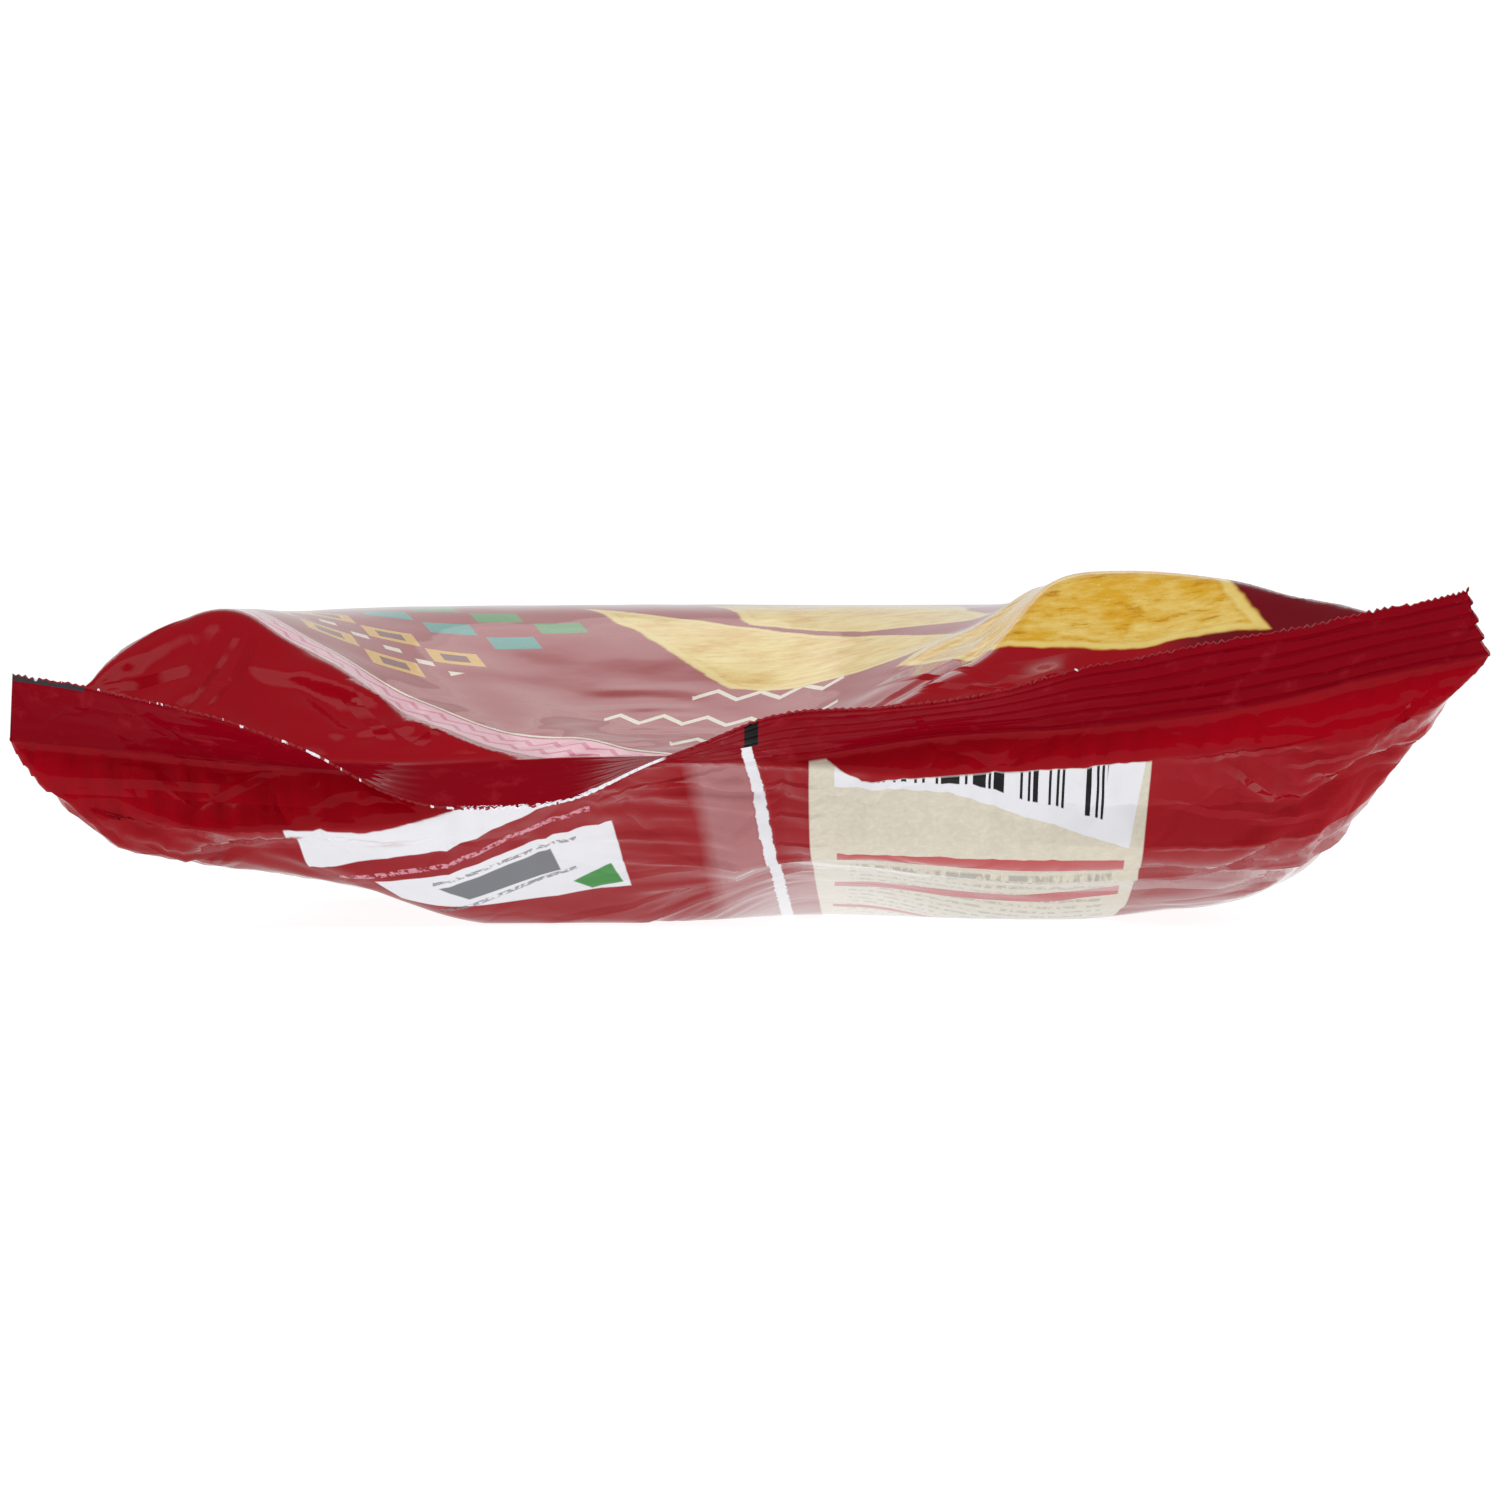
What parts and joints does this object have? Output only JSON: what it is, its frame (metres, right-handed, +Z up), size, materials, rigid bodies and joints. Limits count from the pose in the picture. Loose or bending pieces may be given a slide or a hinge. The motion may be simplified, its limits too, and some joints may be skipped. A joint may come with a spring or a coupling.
{
  "type": "bag of crisps",
  "caption": "Shut film pillow bag of crisps lying on its back, with a crimped flat seal at each end and a waved near seal.",
  "frame": {"origin": "on the table under the middle of the bag's bounding box", "axes": "+X along the end seals, +Y from the near seal to the far seal, +Z up through the front panel"},
  "size_m": [0.2, 0.2686, 0.0489],
  "materials": {
    "film": "glossy printed film"
  },
  "bodies": {
    "root": {"bag": "film"}
  },
  "joints": []
}
